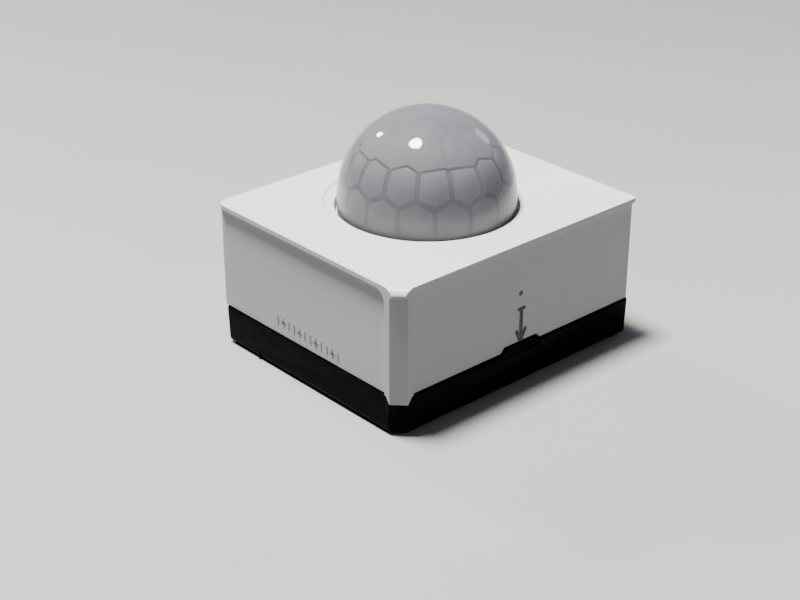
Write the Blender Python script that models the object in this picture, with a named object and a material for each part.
# Battery motion sensor: a white snap-on head with a Fresnel dome over a black mounting tray.
# Sizes are in millimetres and become metres when a mesh is finished. +Z is up, and the origin
# is the middle of the footprint, on the surface that the sensor rests on.
# X runs along the longer side, and the pry tab and the indicator are on the -Y side.
import math

import bmesh
import bpy
from mathutils import Matrix, Vector

METRES = 0.001

# Overall
BODY_X = 59.0              # length over the cover's lip
BODY_Y = 50.0              # width over the cover's lip
PART_Z = 7.4               # top edge of the tray's outer wall
GAP = 0.3                  # between pieces that touch on the real object
OVERSHOOT = 2.0            # how far a cutter runs past the face it opens

# Cover
LIP_CHAMFER = 1.7          # corner cut of the lip that runs round the top
POST_CHAMFER = 2.5         # corner cut of the posts below the lip
CROWN_CHAMFER = 3.4        # corner cut of the flat top
CROWN_DROP = 1.1           # height of the rounded corner crown
CROWN_SHOULDER_RISE = 0.77 # the crown's shoulder, above its foot
CROWN_SHOULDER_CUT = 0.68  # and its corner cut past the lip's
LIP_HEIGHT = 1.6           # top of the cover to the top of a side panel
LIP_UNDERCUT = 0.5         # slope under the lip's corner
POST_FLANK = 1.0           # strip of each post beside a side panel
SIDE_CHAMFER = 1.0         # corner cut of the lip at the two corners without a post
POST_DROP = 1.4            # how far the posts reach below the tray's edge
PANEL_DEPTH = 0.6          # side panels lie this far inside the lip
PANEL_RADIUS = 2.0         # upper corners of the side panels
COVER_WALL = 1.4           # behind a side panel
COVER_TOP = 1.8
COVER_INNER_CHAMFER = 1.2  # of the space inside the walls

# Lens opening and lens
DOME_RADIUS = 16.55
DOME_RISE = 1.1            # centre of the dome above the flat top
DOME_WALL = 0.7
DOME_RING_GAP = 1.05       # open ring between the dome and the cover
DISH_WIDTH = 1.6           # shallow dish that leads into the opening
DISH_DEPTH = 0.5
FLANGE_WIDTH = 2.8         # lens flange past the opening's edge
FLANGE_THICK = 0.8
RETAINER_THICK = 1.2
RETAINER_LEDGE = 1.1       # retainer past the lens flange
COLLAR_WALL = 0.8          # collar inside the lens skirt
EAR_RADIUS = 2.6
EAR_STEP = 0.1             # ears are this much thinner than the ring on each face
STAKE_RADIUS = 0.8         # pins of the cover that hold the retainer
STAKE_HEAD_RADIUS = 1.4
STAKE_HEAD_THICK = 0.5
STAKE_HEAD_BEVEL = 0.42

# Tray
PAD_PROUD = 0.3            # adhesive pad below the tray
TRAY_INSET = 0.1           # tray's upper edge inside the lip
TRAY_DRAFT = 0.2           # the wall leans in this much towards its foot
TRAY_FOOT_INSET = 0.8
TRAY_FOOT_HEIGHT = 2.0
TRAY_WALL = 2.2
TRAY_FLOOR = 1.8
TAB_X = 0.4                # middle of the pry tab
TAB_TOP_LENGTH = 6.6
TAB_FOOT_LENGTH = 9.4
TAB_HEIGHT = 0.95
TAB_THICK = 1.6
TONGUE_LENGTH = 9.0        # snap tongues inside the cover wall
TONGUE_WALL = 1.2
TONGUE_HEIGHT = 3.8        # above the tray's edge
TONGUE_SPREAD = 15.0       # tongues on the long sides, from the middle
PAD_LENGTH = 38.0
PAD_WIDTH = 30.0
PAD_RADIUS = 3.0
PAD_POCKET = 0.7
FIXING_RADIUS = 1.9        # wall screw holes in the floor
FIXING_X = 22.5

# Circuit board and what is on it
BOARD_THICK = 1.2
BOARD_MARGIN = 1.1         # board edge to the cover's inner wall
BOARD_CHAMFER = 2.0
BOARD_DROP = 4.2           # room for the lens seat between the board and the cover's ceiling
BOSS_RADIUS = 2.5
BOSS_MARGIN = 2.0          # boss to the cover's inner wall
SCREW_RADIUS = 0.85
SCREW_LENGTH = 4.8
SCREW_HEAD_RADIUS = 2.0
SCREW_HEAD_THICK = 1.2
SCREW_HEAD_BEVEL = 0.4
SPACER_RADIUS = 4.7
SPACER_THICK = 1.6
CAN_RADIUS = 4.1
CAN_RIM_RADIUS = 4.6
CAN_RIM_THICK = 0.7
CAN_HEIGHT = 4.2
WINDOW_LENGTH = 3.9
WINDOW_WIDTH = 2.9
WINDOW_THICK = 0.4
SWITCH_SIDE = 6.0
SWITCH_HEIGHT = 3.5
SWITCH_WELL = 1.2
PLUNGER_RADIUS = 1.75
PLUNGER_SEAT = 0.6         # plunger inside its well at rest
PAIRING_REACH = 1.4        # plunger past its body
TAMPER_REACH = 4.3
PAIRING_XY = (5.5, -14.0)
TAMPER_XY = (14.0, -14.0)
TAMPER_POST_RADIUS = 2.4
INDICATOR_X = 0.1
INDICATOR_DROP = 10.05     # indicator hole below the flat top
INDICATOR_RADIUS = 0.5
INDICATOR_SKIN = 0.5       # wall left in front of the light pipe
PIPE_RADIUS = 0.85
PIPE_LENGTH = 1.4
LED_LENGTH = 3.0
LED_WIDTH = 1.8
LED_LENS_RADIUS = 0.9
LED_LENS_LENGTH = 1.0
CHIP_SIDE = 7.0
CHIP_THICK = 1.0
CHIP_XY = (-2.0, -8.0)
RADIO_LENGTH = 16.0
RADIO_WIDTH = 14.0
RADIO_THICK = 0.8
RADIO_XY = (-16.0, -9.0)
SHIELD_LENGTH = 13.0
SHIELD_WIDTH = 11.0
SHIELD_THICK = 2.0
CRYSTAL_LENGTH = 5.0
CRYSTAL_WIDTH = 3.2
CRYSTAL_THICK = 1.3
CRYSTAL_XY = (6.0, -5.0)
CAPACITOR_RADIUS = 3.15
CAPACITOR_HEIGHT = 7.0
CAPACITOR_XY = (14.0, -5.0)
ANTENNA_RADIUS = 2.2
ANTENNA_WIRE = 0.4
ANTENNA_PITCH = 1.6
ANTENNA_TURNS = 6
ANTENNA_XY = (21.5, -11.0)
RESISTOR_LENGTH = 1.6
RESISTOR_WIDTH = 0.8
RESISTOR_THICK = 0.5
RESISTOR_COUNT = 4
RESISTOR_PITCH = 2.4
RESISTOR_XY = (-6.0, -18.0)

# Battery
CELL_RADIUS = 8.5
CELL_LENGTH = 33.5
NUB_RADIUS = 3.0
NUB_LENGTH = 1.0
CELL_Y = 10.5
CELL_LIFT = 0.4            # cell above the tray's floor
HOLDER_WEB = 1.0
HOLDER_SIDE = 1.3
HOLDER_END = 1.4
HOLDER_DEPTH = 12.5        # how far the holder comes down over the cell
CONTACT_THICK = 0.35
CONTACT_WIDTH = 7.0
CONTACT_SPRING = 1.2       # room for the bent leaf at each end

# Worked out from the values above. The height is a stack: floor, cell, holder, board, lens seat.
HALF_X = BODY_X / 2
HALF_Y = BODY_Y / 2
INNER_X = HALF_X - PANEL_DEPTH - COVER_WALL
INNER_Y = HALF_Y - PANEL_DEPTH - COVER_WALL
FLOOR_Z = PAD_PROUD + TRAY_FLOOR
CELL_Z = FLOOR_Z + CELL_LIFT + CELL_RADIUS
MOUNT_Z = CELL_Z + CELL_RADIUS + GAP + HOLDER_WEB    # top of what hangs under the board
BOARD_FOOT_Z = MOUNT_Z + GAP
BOARD_TOP_Z = BOARD_FOOT_Z + BOARD_THICK
CEILING_Z = BOARD_TOP_Z + BOARD_DROP
TOP_Z = CEILING_Z + COVER_TOP
POST_END_X = HALF_X - POST_CHAMFER
POST_END_Y = HALF_Y - POST_CHAMFER
PANEL_HALF_X = POST_END_X - POST_FLANK
PANEL_HALF_Y = POST_END_Y - POST_FLANK
WALL_FOOT_Z = PART_Z + GAP
POST_FOOT_Z = WALL_FOOT_Z - POST_DROP
DOME_Z = TOP_Z + DOME_RISE
OPENING_RADIUS = DOME_RADIUS + DOME_RING_GAP
DISH_RADIUS = OPENING_RADIUS + DISH_WIDTH
FLANGE_RADIUS = OPENING_RADIUS + FLANGE_WIDTH
FLANGE_TOP_Z = CEILING_Z - GAP
FLANGE_FOOT_Z = FLANGE_TOP_Z - FLANGE_THICK
RETAINER_TOP_Z = FLANGE_FOOT_Z - GAP
RETAINER_FOOT_Z = RETAINER_TOP_Z - RETAINER_THICK
RETAINER_RADIUS = FLANGE_RADIUS + RETAINER_LEDGE
EAR_PLACE = (RETAINER_RADIUS + EAR_RADIUS / 2) / math.sqrt(2)
BOARD_X = INNER_X - BOARD_MARGIN
BOARD_Y = INNER_Y - BOARD_MARGIN
BOSS_X = INNER_X - BOSS_MARGIN - BOSS_RADIUS
BOSS_Y = INNER_Y - BOSS_MARGIN - BOSS_RADIUS
INDICATOR_Z = TOP_Z - INDICATOR_DROP

ROUND = 48
SMALL_ROUND = 24
TINY_ROUND = 16


def start_empty():
    for item in list(bpy.data.objects):
        bpy.data.objects.remove(item, do_unlink=True)


def add_object(name, shape):
    """Make an object, still in millimetres, from a bmesh that is then freed."""
    bmesh.ops.recalc_face_normals(shape, faces=shape.faces)
    mesh = bpy.data.meshes.new(name)
    shape.to_mesh(mesh)
    shape.free()
    item = bpy.data.objects.new(name, mesh)
    bpy.context.scene.collection.objects.link(item)
    return item


def stack(name, rings):
    """A closed solid through rings of equal point count, each a list of 3-D points."""
    shape = bmesh.new()
    loops = [[shape.verts.new(point) for point in ring] for ring in rings]
    for lower, upper in zip(loops, loops[1:]):
        for index in range(len(lower)):
            following = (index + 1) % len(lower)
            shape.faces.new((lower[index], lower[following], upper[following], upper[index]))
    shape.faces.new(list(reversed(loops[0])))
    shape.faces.new(loops[-1])
    return add_object(name, shape)


def cut_corner_ring(half_x, half_y, chamfer, z, side_chamfer=None):
    """Level outline with cut corners. The two corners without a post may have their own cut."""
    corners = []
    for sign_x, sign_y in ((1, 1), (-1, 1), (-1, -1), (1, -1)):
        leg = chamfer if side_chamfer is None or sign_x == sign_y else side_chamfer
        along_y = (sign_x * half_x, sign_y * (half_y - leg), z)
        along_x = (sign_x * (half_x - leg), sign_y * half_y, z)
        corners += [along_y, along_x] if sign_x * sign_y > 0 else [along_x, along_y]
    return corners


def block(name, low, high):
    ring = ((low[0], low[1]), (high[0], low[1]), (high[0], high[1]), (low[0], high[1]))
    return stack(name, [[(x, y, z) for x, y in ring] for z in (low[2], high[2])])


def centred_block(name, length, width, middle_xy, foot_z, top_z):
    x, y = middle_xy
    return block(name, (x - length / 2, y - width / 2, foot_z), (x + length / 2, y + width / 2, top_z))


def arc(middle, radius, start, end, steps):
    points = []
    for step in range(steps + 1):
        angle = math.radians(start + (end - start) * step / steps)
        points.append((middle[0] + radius * math.cos(angle), middle[1] + radius * math.sin(angle)))
    return points


def rounded_plate(name, length, width, radius, foot_z, top_z):
    outline = []
    for quarter, (sign_x, sign_y) in enumerate(((1, 1), (-1, 1), (-1, -1), (1, -1))):
        middle = (sign_x * (length / 2 - radius), sign_y * (width / 2 - radius))
        outline += arc(middle, radius, quarter * 90, quarter * 90 + 90, 5)
    return stack(name, [[(x, y, z) for x, y in outline] for z in (foot_z, top_z)])


def turned(name, profile, segments, middle=(0.0, 0.0)):
    """Turn a closed profile of (radius, height) points round Z. Points at radius 0 are poles."""
    shape = bmesh.new()
    columns = []
    for radius, height in profile:
        if radius == 0:
            columns.append([shape.verts.new((middle[0], middle[1], height))] * segments)
            continue
        column = []
        for step in range(segments):
            angle = 2 * math.pi * step / segments
            x = middle[0] + radius * math.cos(angle)
            y = middle[1] + radius * math.sin(angle)
            column.append(shape.verts.new((x, y, height)))
        columns.append(column)
    for index, column in enumerate(columns):
        other = columns[(index + 1) % len(columns)]
        for step in range(segments):
            following = (step + 1) % segments
            corners = (column[step], column[following], other[following], other[step])
            distinct = list(dict.fromkeys(corners))
            if len(distinct) > 2:
                shape.faces.new(distinct)
    return add_object(name, shape)


def rod(name, radius, middle_xy, foot_z, top_z, segments=SMALL_ROUND):
    return turned(name, [(0, foot_z), (radius, foot_z), (radius, top_z), (0, top_z)], segments, middle_xy)


def lying_rod(name, radius, start, end, segments=SMALL_ROUND):
    """A rod between two points that lie along X or along Y."""
    length = (Vector(end) - Vector(start)).length
    item = rod(name, radius, (0.0, 0.0), 0.0, length, segments)
    turn = Vector((0, 0, 1)).rotation_difference(Vector(end) - Vector(start)).to_matrix().to_4x4()
    item.data.transform(Matrix.Translation(start) @ turn)
    return item


def side_prism(name, outline, along, start, end):
    """Extrude an outline of (across, height) points along X or along Y."""
    if along == "Y":
        rings = [[(across, place, height) for across, height in outline] for place in (start, end)]
    else:
        rings = [[(place, across, height) for across, height in outline] for place in (start, end)]
    return stack(name, rings)


def combine(target, operation, tools):
    for tool in tools:
        modifier = target.modifiers.new("combine", "BOOLEAN")
        modifier.operation = operation
        modifier.solver = "EXACT"
        modifier.object = tool
        scene_now = bpy.context.evaluated_depsgraph_get()
        old_mesh = target.data
        target.data = bpy.data.meshes.new_from_object(target.evaluated_get(scene_now))
        target.modifiers.clear()
        target.data.name = target.name
        bpy.data.meshes.remove(old_mesh)
        bpy.data.objects.remove(tool, do_unlink=True)
    return target


def cut(target, *tools):
    return combine(target, "DIFFERENCE", tools)


def trim(target, tool):
    return combine(target, "INTERSECT", [tool])


def join(target, *tools):
    return combine(target, "UNION", tools)


def finish(item, colour, roughness, metallic=0.0, origin=(0.0, 0.0, 0.0), smooth_angle=30):
    """Put the origin in place, turn millimetres into metres and give the piece its material."""
    item.data.transform(Matrix.Scale(METRES, 4) @ Matrix.Translation(-Vector(origin)))
    item.location = Vector(origin) * METRES
    item.data.shade_smooth()
    item.data.set_sharp_from_angle(angle=math.radians(smooth_angle))
    material = bpy.data.materials.new(item.name)
    material.use_nodes = True
    surface = material.node_tree.nodes["Principled BSDF"]
    surface.inputs["Base Color"].default_value = (*colour, 1.0)
    surface.inputs["Roughness"].default_value = roughness
    surface.inputs["Metallic"].default_value = metallic
    item.data.materials.clear()
    item.data.materials.append(material)
    return item


# Tray and pad

def wall_foot_outline(sign, post_end, panel_half, far):
    """Side view of the space under a cover wall, from a post's slanted foot to past the other corner."""
    below_z = POST_FOOT_Z - OVERSHOOT
    return [(sign * post_end, below_z), (sign * post_end, POST_FOOT_Z), (sign * panel_half, WALL_FOOT_Z),
            (-sign * far, WALL_FOOT_Z), (-sign * far, below_z)]


def tab_outline(margin, foot_z, top_z):
    top = TAB_TOP_LENGTH / 2 + margin
    foot = TAB_FOOT_LENGTH / 2 + margin
    edge_z = top_z - TAB_HEIGHT
    return [(TAB_X - foot, foot_z), (TAB_X + foot, foot_z), (TAB_X + foot, edge_z),
            (TAB_X + top, top_z), (TAB_X - top, top_z), (TAB_X - foot, edge_z)]


def tray_notch(sign_x, sign_y):
    """Room for one post of the cover in a corner of the tray's wall."""
    rings = []
    foot_z = POST_FOOT_Z - GAP
    flank_slope = POST_FLANK / (PART_Z - foot_z)
    for z in (foot_z, PART_Z + OVERSHOOT):
        lean = flank_slope * (z - foot_z)
        near_x, near_y = sign_x * (POST_END_X - GAP - lean), sign_y * (POST_END_Y - GAP - lean)
        far_x, far_y = sign_x * (HALF_X + OVERSHOOT), sign_y * (HALF_Y + OVERSHOOT)
        rings.append([(near_x, near_y, z), (far_x, near_y, z), (far_x, far_y, z), (near_x, far_y, z)])
    return stack("notch", rings)


def snap_tongue(name, middle, along, sign):
    """A tongue that stands inside the cover's wall, on a foot that joins it to the tray's wall."""
    inner = INNER_Y if along == "X" else INNER_X
    outer_face = inner - GAP
    inner_face = outer_face - TONGUE_WALL
    foot_face = outer_face + TRAY_WALL / 2
    low_z = FLOOR_Z - TRAY_FLOOR / 2
    pieces = []
    for far, low, high in ((foot_face, low_z, PART_Z - GAP), (outer_face, low_z, PART_Z + TONGUE_HEIGHT)):
        ends = sorted((sign * inner_face, sign * far))
        start, end = middle - TONGUE_LENGTH / 2, middle + TONGUE_LENGTH / 2
        if along == "X":
            pieces.append(block(name, (start, ends[0], low), (end, ends[1], high)))
        else:
            pieces.append(block(name, (ends[0], start, low), (ends[1], end, high)))
    return join(pieces[0], pieces[1])


def make_tray():
    rings = []
    for z, inset in (
        (PAD_PROUD, TRAY_FOOT_INSET),
        (PAD_PROUD + TRAY_FOOT_HEIGHT / 4, (TRAY_FOOT_INSET + TRAY_INSET + TRAY_DRAFT) / 2),
        (PAD_PROUD + TRAY_FOOT_HEIGHT, TRAY_INSET + TRAY_DRAFT / 2),
        (PART_Z, TRAY_INSET),
    ):
        rings.append(cut_corner_ring(HALF_X - inset, HALF_Y - inset, POST_CHAMFER, z, SIDE_CHAMFER))
    tray = stack("base_tray", rings)
    inner_x = HALF_X - TRAY_INSET - TRAY_WALL
    inner_y = HALF_Y - TRAY_INSET - TRAY_WALL
    cut(tray, stack("cavity", [cut_corner_ring(inner_x, inner_y, COVER_INNER_CHAMFER, z)
                               for z in (FLOOR_Z, PART_Z + OVERSHOOT)]))
    cut(tray, *[tray_notch(sign, sign) for sign in (-1, 1)])
    front = -(HALF_Y - TRAY_INSET)
    join(tray, side_prism("tab", tab_outline(0.0, PART_Z - TAB_HEIGHT, PART_Z + TAB_HEIGHT), "Y",
                          front, front + TAB_THICK))
    for sign in (-1, 1):
        for middle in (-TONGUE_SPREAD, TONGUE_SPREAD):
            join(tray, snap_tongue("tongue", middle, "X", sign))
        join(tray, snap_tongue("tongue", 0.0, "Y", sign))
    tamper_tip_z = MOUNT_Z - SWITCH_HEIGHT - TAMPER_REACH
    join(tray, rod("post", TAMPER_POST_RADIUS, TAMPER_XY, FLOOR_Z - TRAY_FLOOR / 2, tamper_tip_z - GAP))
    cut(tray, rounded_plate("pocket", PAD_LENGTH + 2 * GAP, PAD_WIDTH + 2 * GAP, PAD_RADIUS + GAP,
                            -OVERSHOOT, PAD_PROUD + PAD_POCKET))
    for sign in (-1, 1):
        cut(tray, rod("fixing", FIXING_RADIUS, (sign * FIXING_X, 0.0), -OVERSHOOT, FLOOR_Z + OVERSHOOT))
    finish(tray, (0.006, 0.006, 0.007), 0.45)


def make_pad():
    pad_top_z = PAD_PROUD + PAD_POCKET - GAP
    pad = rounded_plate("adhesive_pad", PAD_LENGTH, PAD_WIDTH, PAD_RADIUS, 0.0, pad_top_z)
    finish(pad, (0.02, 0.02, 0.02), 0.9)


# Cover, lens and retainer

def side_panel(along, sign):
    """Cutter that sinks one side panel, with a rounded upper corner at its post."""
    half = PANEL_HALF_X if along == "X" else PANEL_HALF_Y
    far = (HALF_X if along == "X" else HALF_Y) + OVERSHOOT
    face = HALF_Y if along == "X" else HALF_X
    top_z = TOP_Z - LIP_HEIGHT
    middle = (half - PANEL_RADIUS, top_z - PANEL_RADIUS)
    outline = [(-far, -OVERSHOOT), (half, -OVERSHOOT), *arc(middle, PANEL_RADIUS, 0, 90, 5), (-far, top_z)]
    outline = [(sign * across, z) for across, z in outline]
    ends = sorted((sign * (face - PANEL_DEPTH), sign * (face + OVERSHOOT)))
    return side_prism("panel", outline, "Y" if along == "X" else "X", *ends)


def make_cover():
    crown_z = TOP_Z - CROWN_DROP
    levels = (
        (POST_FOOT_Z, POST_CHAMFER),
        (TOP_Z - LIP_HEIGHT - LIP_UNDERCUT / 2, POST_CHAMFER),
        (TOP_Z - LIP_HEIGHT + LIP_UNDERCUT / 2, LIP_CHAMFER),
        (crown_z, LIP_CHAMFER),
        (crown_z + CROWN_SHOULDER_RISE, LIP_CHAMFER + CROWN_SHOULDER_CUT),
        (TOP_Z, CROWN_CHAMFER),
    )
    cover = stack("cover", [cut_corner_ring(HALF_X, HALF_Y, chamfer, z, SIDE_CHAMFER)
                            for z, chamfer in levels])
    cut(cover, *[side_panel(along, sign) for along in "XY" for sign in (-1, 1)])
    cut(cover, stack("cavity", [cut_corner_ring(INNER_X, INNER_Y, COVER_INNER_CHAMFER, z)
                                for z in (-OVERSHOOT, CEILING_Z)]))
    cone_radius = DISH_RADIUS + OVERSHOOT * DISH_WIDTH / DISH_DEPTH
    cut(cover, turned("opening", [(0, CEILING_Z - OVERSHOOT), (OPENING_RADIUS, CEILING_Z - OVERSHOOT),
                                  (OPENING_RADIUS, TOP_Z - DISH_DEPTH), (cone_radius, TOP_Z + OVERSHOOT),
                                  (0, TOP_Z + OVERSHOOT)], ROUND))
    for along, post_end, panel_half, side, face in (
        ("Y", POST_END_X, PANEL_HALF_X, HALF_X, HALF_Y),
        ("X", POST_END_Y, PANEL_HALF_Y, HALF_Y, HALF_X),
    ):
        for sign in (-1, 1):
            outline = wall_foot_outline(sign, post_end, panel_half, side + OVERSHOOT)
            ends = sorted((0.0, sign * (face + OVERSHOOT)))
            cut(cover, side_prism("foot", outline, along, *ends))
    cut(cover, side_prism("tab_notch", tab_outline(GAP, POST_FOOT_Z, PART_Z + TAB_HEIGHT + GAP), "Y",
                          -HALF_Y - OVERSHOOT, -INNER_Y + OVERSHOOT))
    root_z = CEILING_Z + COVER_TOP / 2
    boss_foot_z = BOARD_TOP_Z + GAP
    hole_z = MOUNT_Z + SCREW_LENGTH + GAP
    for sign_x in (-1, 1):
        for sign_y in (-1, 1):
            place = (sign_x * BOSS_X, sign_y * BOSS_Y)
            join(cover, turned("boss", [(SCREW_RADIUS + GAP, boss_foot_z), (BOSS_RADIUS, boss_foot_z),
                                        (BOSS_RADIUS, root_z), (0, root_z), (0, hole_z),
                                        (SCREW_RADIUS + GAP, hole_z)], SMALL_ROUND, place))
            ear = (sign_x * EAR_PLACE, sign_y * EAR_PLACE)
            stake_foot_z = RETAINER_FOOT_Z - GAP - STAKE_HEAD_THICK
            stake = turned("stake", [(0, stake_foot_z),
                                     (STAKE_HEAD_RADIUS - STAKE_HEAD_BEVEL, stake_foot_z),
                                     (STAKE_HEAD_RADIUS, RETAINER_FOOT_Z - GAP),
                                     (STAKE_RADIUS, RETAINER_FOOT_Z - GAP),
                                     (STAKE_RADIUS, root_z), (0, root_z)], TINY_ROUND, ear)
            join(cover, stake)
    front = -(HALF_Y - PANEL_DEPTH)
    cut(cover, lying_rod("dot", INDICATOR_RADIUS, (INDICATOR_X, front - OVERSHOOT, INDICATOR_Z),
                         (INDICATOR_X, -INNER_Y + OVERSHOOT, INDICATOR_Z), TINY_ROUND))
    cut(cover, lying_rod("bore", PIPE_RADIUS + GAP, (INDICATOR_X, front + INDICATOR_SKIN, INDICATOR_Z),
                         (INDICATOR_X, -INNER_Y + OVERSHOOT, INDICATOR_Z), TINY_ROUND))
    finish(cover, (0.72, 0.71, 0.69), 0.5)


def room_in_cover():
    """A block that clears the cover's walls, so that a wide lens seat gets flats beside them."""
    return centred_block("room", 2 * (INNER_X - GAP), 2 * (INNER_Y - GAP), (0.0, 0.0),
                         BOARD_TOP_Z, DOME_Z + DOME_RADIUS + OVERSHOOT)


def make_lens():
    inner = DOME_RADIUS - DOME_WALL
    outer_arc = [(radius, DOME_Z + height) for radius, height in arc((0, 0), DOME_RADIUS, 0, 90, 12)]
    inner_arc = [(radius, DOME_Z + height) for radius, height in arc((0, 0), inner, 90, 0, 12)]
    outer_arc[-1] = (0, DOME_Z + DOME_RADIUS)
    inner_arc[0] = (0, DOME_Z + inner)
    profile = [(DOME_RADIUS, FLANGE_TOP_Z)] + outer_arc + inner_arc
    profile += [(inner, FLANGE_FOOT_Z), (FLANGE_RADIUS, FLANGE_FOOT_Z), (FLANGE_RADIUS, FLANGE_TOP_Z)]
    lens = trim(turned("lens_dome", profile, ROUND), room_in_cover())
    finish(lens, (0.42, 0.45, 0.5), 0.2)


def make_retainer():
    collar_outer = DOME_RADIUS - DOME_WALL - GAP
    collar_inner = collar_outer - COLLAR_WALL
    collar_top_z = DOME_Z - GAP
    ring = turned("lens_retainer", [(collar_inner, RETAINER_FOOT_Z), (RETAINER_RADIUS, RETAINER_FOOT_Z),
                                    (RETAINER_RADIUS, RETAINER_TOP_Z), (collar_outer, RETAINER_TOP_Z),
                                    (collar_outer, collar_top_z), (collar_inner, collar_top_z)], ROUND)
    trim(ring, room_in_cover())
    for sign_x in (-1, 1):
        for sign_y in (-1, 1):
            ear = (sign_x * EAR_PLACE, sign_y * EAR_PLACE)
            join(ring, rod("ear", EAR_RADIUS, ear, RETAINER_FOOT_Z + EAR_STEP, RETAINER_TOP_Z - EAR_STEP))
            boss = (sign_x * BOSS_X, sign_y * BOSS_Y)
            cut(ring, rod("boss_room", BOSS_RADIUS + GAP, boss, RETAINER_FOOT_Z - OVERSHOOT,
                          RETAINER_TOP_Z + OVERSHOOT))
            cut(ring, rod("hole", STAKE_RADIUS + GAP, ear, RETAINER_FOOT_Z - OVERSHOOT,
                          RETAINER_TOP_Z + OVERSHOOT, TINY_ROUND))
    finish(ring, (0.012, 0.012, 0.013), 0.6)


# Circuit board and what it carries

def make_board():
    board = stack("circuit_board", [cut_corner_ring(BOARD_X, BOARD_Y, BOARD_CHAMFER, z)
                                    for z in (BOARD_FOOT_Z, BOARD_TOP_Z)])
    for sign_x in (-1, 1):
        for sign_y in (-1, 1):
            cut(board, rod("hole", SCREW_RADIUS + GAP, (sign_x * BOSS_X, sign_y * BOSS_Y),
                           BOARD_FOOT_Z - OVERSHOOT, BOARD_TOP_Z + OVERSHOOT, TINY_ROUND))
    finish(board, (0.01, 0.09, 0.035), 0.45)


def make_board_screws():
    head_foot_z = MOUNT_Z - SCREW_HEAD_THICK
    corners = ((-1, -1), (1, -1), (1, 1), (-1, 1))
    for number, (sign_x, sign_y) in enumerate(corners, start=1):
        profile = [(0, head_foot_z), (SCREW_HEAD_RADIUS - SCREW_HEAD_BEVEL, head_foot_z),
                   (SCREW_HEAD_RADIUS, head_foot_z + SCREW_HEAD_BEVEL), (SCREW_HEAD_RADIUS, MOUNT_Z),
                   (SCREW_RADIUS, MOUNT_Z), (SCREW_RADIUS, MOUNT_Z + SCREW_LENGTH),
                   (0, MOUNT_Z + SCREW_LENGTH)]
        screw = turned(f"board_screw_{number}", profile, TINY_ROUND, (sign_x * BOSS_X, sign_y * BOSS_Y))
        finish(screw, (0.6, 0.6, 0.62), 0.3, 1.0)


def make_sensor():
    spacer_foot_z = BOARD_TOP_Z + GAP
    spacer_top_z = spacer_foot_z + SPACER_THICK
    finish(rod("pir_spacer", SPACER_RADIUS, (0.0, 0.0), spacer_foot_z, spacer_top_z),
           (0.015, 0.015, 0.016), 0.6)
    can_foot_z = spacer_top_z + GAP
    can_top_z = can_foot_z + CAN_HEIGHT
    can = turned("pir_sensor_can", [(0, can_foot_z), (CAN_RIM_RADIUS, can_foot_z),
                                    (CAN_RIM_RADIUS, can_foot_z + CAN_RIM_THICK),
                                    (CAN_RADIUS, can_foot_z + CAN_RIM_THICK),
                                    (CAN_RADIUS, can_top_z - GAP), (CAN_RADIUS - GAP, can_top_z),
                                    (0, can_top_z)], SMALL_ROUND)
    pocket_z = can_top_z - WINDOW_THICK - GAP
    cut(can, centred_block("pocket", WINDOW_LENGTH + 2 * GAP, WINDOW_WIDTH + 2 * GAP, (0.0, 0.0),
                           pocket_z, can_top_z + OVERSHOOT))
    finish(can, (0.62, 0.6, 0.55), 0.25, 1.0)
    window = centred_block("pir_sensor_window", WINDOW_LENGTH, WINDOW_WIDTH, (0.0, 0.0),
                           pocket_z + GAP, can_top_z)
    finish(window, (0.06, 0.06, 0.07), 0.15)


def make_switch(name, place, reach, plunger_colour):
    foot_z = MOUNT_Z - SWITCH_HEIGHT
    body = centred_block(name + "_switch_body", SWITCH_SIDE, SWITCH_SIDE, place, foot_z, MOUNT_Z)
    cut(body, rod("well", PLUNGER_RADIUS + GAP, place, foot_z - OVERSHOOT, foot_z + SWITCH_WELL))
    finish(body, (0.02, 0.02, 0.02), 0.5)
    plunger = rod(name + "_switch_plunger", PLUNGER_RADIUS, place, foot_z - reach, foot_z + PLUNGER_SEAT)
    finish(plunger, plunger_colour, 0.4, origin=(place[0], place[1], foot_z))


def make_indicator():
    pipe_front = -(HALF_Y - PANEL_DEPTH) + INDICATOR_SKIN + GAP
    pipe_back = pipe_front + PIPE_LENGTH
    finish(lying_rod("light_pipe", PIPE_RADIUS, (INDICATOR_X, pipe_front, INDICATOR_Z),
                     (INDICATOR_X, pipe_back, INDICATOR_Z), TINY_ROUND), (0.5, 0.52, 0.54), 0.1)
    led_front = pipe_back + GAP + LED_LENS_LENGTH
    foot_z = INDICATOR_Z - LED_LENS_RADIUS - GAP / 2
    led = block("status_led", (INDICATOR_X - LED_LENGTH / 2, led_front, foot_z),
                (INDICATOR_X + LED_LENGTH / 2, led_front + LED_WIDTH, MOUNT_Z))
    join(led, lying_rod("lens", LED_LENS_RADIUS, (INDICATOR_X, pipe_back + GAP, INDICATOR_Z),
                        (INDICATOR_X, led_front + LED_WIDTH / 2, INDICATOR_Z), TINY_ROUND))
    finish(led, (0.75, 0.74, 0.7), 0.25)


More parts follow.
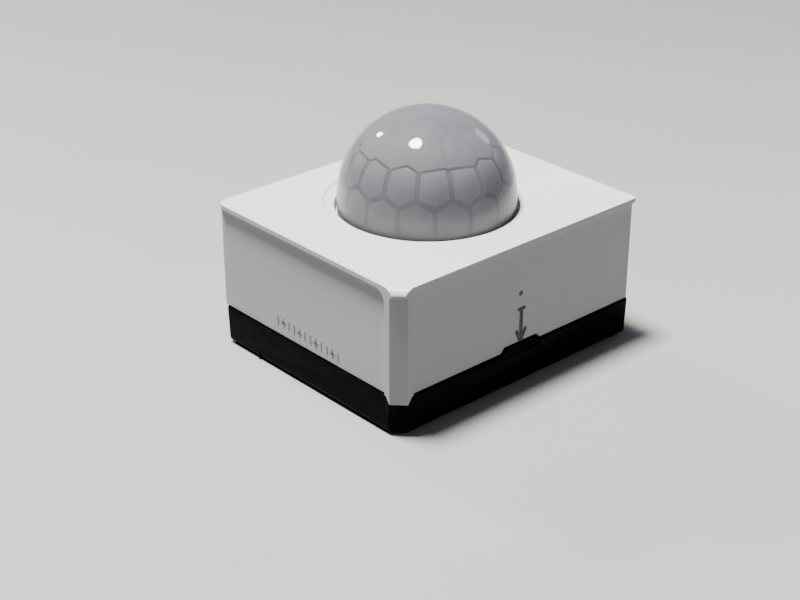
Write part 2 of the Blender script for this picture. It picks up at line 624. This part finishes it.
def make_chips():
    finish(centred_block("microcontroller", CHIP_SIDE, CHIP_SIDE, CHIP_XY, MOUNT_Z - CHIP_THICK, MOUNT_Z),
           (0.015, 0.015, 0.016), 0.5)
    radio_foot_z = MOUNT_Z - RADIO_THICK
    finish(centred_block("radio_board", RADIO_LENGTH, RADIO_WIDTH, RADIO_XY, radio_foot_z, MOUNT_Z),
           (0.01, 0.04, 0.12), 0.45)
    shield_top_z = radio_foot_z - GAP
    finish(centred_block("radio_shield", SHIELD_LENGTH, SHIELD_WIDTH, RADIO_XY,
                         shield_top_z - SHIELD_THICK, shield_top_z), (0.65, 0.65, 0.66), 0.3, 1.0)
    crystal_foot_z = MOUNT_Z - CRYSTAL_THICK
    finish(centred_block("crystal", CRYSTAL_LENGTH, CRYSTAL_WIDTH, CRYSTAL_XY, crystal_foot_z, MOUNT_Z),
           (0.7, 0.69, 0.66), 0.25, 1.0)
    finish(rod("capacitor", CAPACITOR_RADIUS, CAPACITOR_XY, MOUNT_Z - CAPACITOR_HEIGHT, MOUNT_Z),
           (0.6, 0.6, 0.62), 0.3, 1.0)
    for index in range(RESISTOR_COUNT):
        place = (RESISTOR_XY[0] - index * RESISTOR_PITCH, RESISTOR_XY[1])
        finish(centred_block(f"chip_resistor_{index + 1}", RESISTOR_LENGTH, RESISTOR_WIDTH, place,
                             MOUNT_Z - RESISTOR_THICK, MOUNT_Z), (0.03, 0.03, 0.035), 0.5)


def make_antenna():
    """A wound wire antenna that hangs from the board."""
    line = bpy.data.curves.new("antenna_coil", "CURVE")
    line.dimensions = "3D"
    line.bevel_depth = ANTENNA_WIRE
    line.bevel_resolution = 1
    line.use_fill_caps = True
    steps = 14
    points = []
    for step in range(ANTENNA_TURNS * steps + 1):
        angle = 2 * math.pi * step / steps
        points.append((ANTENNA_XY[0] + ANTENNA_RADIUS * math.cos(angle),
                       ANTENNA_XY[1] + ANTENNA_RADIUS * math.sin(angle),
                       MOUNT_Z - ANTENNA_WIRE - ANTENNA_PITCH * step / steps))
    spline = line.splines.new("POLY")
    spline.points.add(len(points) - 1)
    for point, place in zip(spline.points, points):
        point.co = (*place, 1.0)
    wire = bpy.data.objects.new("antenna_wire", line)
    bpy.context.scene.collection.objects.link(wire)
    scene_now = bpy.context.evaluated_depsgraph_get()
    mesh = bpy.data.meshes.new_from_object(wire.evaluated_get(scene_now))
    bpy.data.objects.remove(wire, do_unlink=True)
    shape = bmesh.new()
    shape.from_mesh(mesh)
    bpy.data.meshes.remove(mesh)
    bmesh.ops.remove_doubles(shape, verts=shape.verts, dist=0.001)
    finish(add_object("antenna_coil", shape), (0.7, 0.45, 0.2), 0.3, 1.0)


# Battery

def make_battery():
    half = CELL_LENGTH / 2
    sides = ROUND // 2
    cell = lying_rod("battery_cell", CELL_RADIUS, (-half, CELL_Y, CELL_Z), (half, CELL_Y, CELL_Z), sides)
    join(cell, lying_rod("nub", NUB_RADIUS, (0.0, CELL_Y, CELL_Z), (half + NUB_LENGTH, CELL_Y, CELL_Z)))
    finish(cell, (0.05, 0.1, 0.25), 0.35)

    bay_half = half + NUB_LENGTH + CONTACT_SPRING
    bay_radius = CELL_RADIUS + GAP
    end_half = bay_half + HOLDER_END
    foot_z = MOUNT_Z - HOLDER_DEPTH
    side = bay_radius + HOLDER_SIDE
    holder = block("battery_holder", (-end_half, CELL_Y - side, foot_z), (end_half, CELL_Y + side, MOUNT_Z))
    bay = lying_rod("bay", bay_radius, (-bay_half, CELL_Y, CELL_Z), (bay_half, CELL_Y, CELL_Z), sides)
    cut(holder, bay)
    cut(holder, block("mouth", (-bay_half, CELL_Y - bay_radius, foot_z - OVERSHOOT),
                      (bay_half, CELL_Y + bay_radius, CELL_Z)))
    for sign_x in (-1, 1):
        for sign_y in (-1, 1):
            cut(holder, rod("screw_room", SCREW_HEAD_RADIUS + GAP, (sign_x * BOSS_X, sign_y * BOSS_Y),
                            MOUNT_Z - SCREW_HEAD_THICK - GAP, MOUNT_Z + OVERSHOOT))
    finish(holder, (0.02, 0.02, 0.022), 0.55)

    for name, sign, reach in (("positive", 1, half + NUB_LENGTH), ("negative", -1, half)):
        back = bay_half - GAP
        tip = reach + GAP
        outline = [(sign * back, CELL_Z + CELL_RADIUS / 2), (sign * back, CELL_Z - CELL_RADIUS / 2),
                   (sign * (back - CONTACT_THICK), CELL_Z - CELL_RADIUS / 2),
                   (sign * tip, CELL_Z - CONTACT_THICK), (sign * tip, CELL_Z + CONTACT_THICK),
                   (sign * (back - CONTACT_THICK), CELL_Z + CELL_RADIUS / 2)]
        contact = side_prism("battery_contact_" + name, outline, "Y",
                             CELL_Y - CONTACT_WIDTH / 2, CELL_Y + CONTACT_WIDTH / 2)
        finish(contact, (0.7, 0.68, 0.6), 0.3, 1.0)


start_empty()
make_tray()
make_pad()
make_cover()
make_lens()
make_retainer()
make_board()
make_board_screws()
make_sensor()
make_switch("pairing", PAIRING_XY, PAIRING_REACH, (0.55, 0.05, 0.03))
make_switch("tamper", TAMPER_XY, TAMPER_REACH, (0.6, 0.6, 0.58))
make_indicator()
make_chips()
make_antenna()
make_battery()
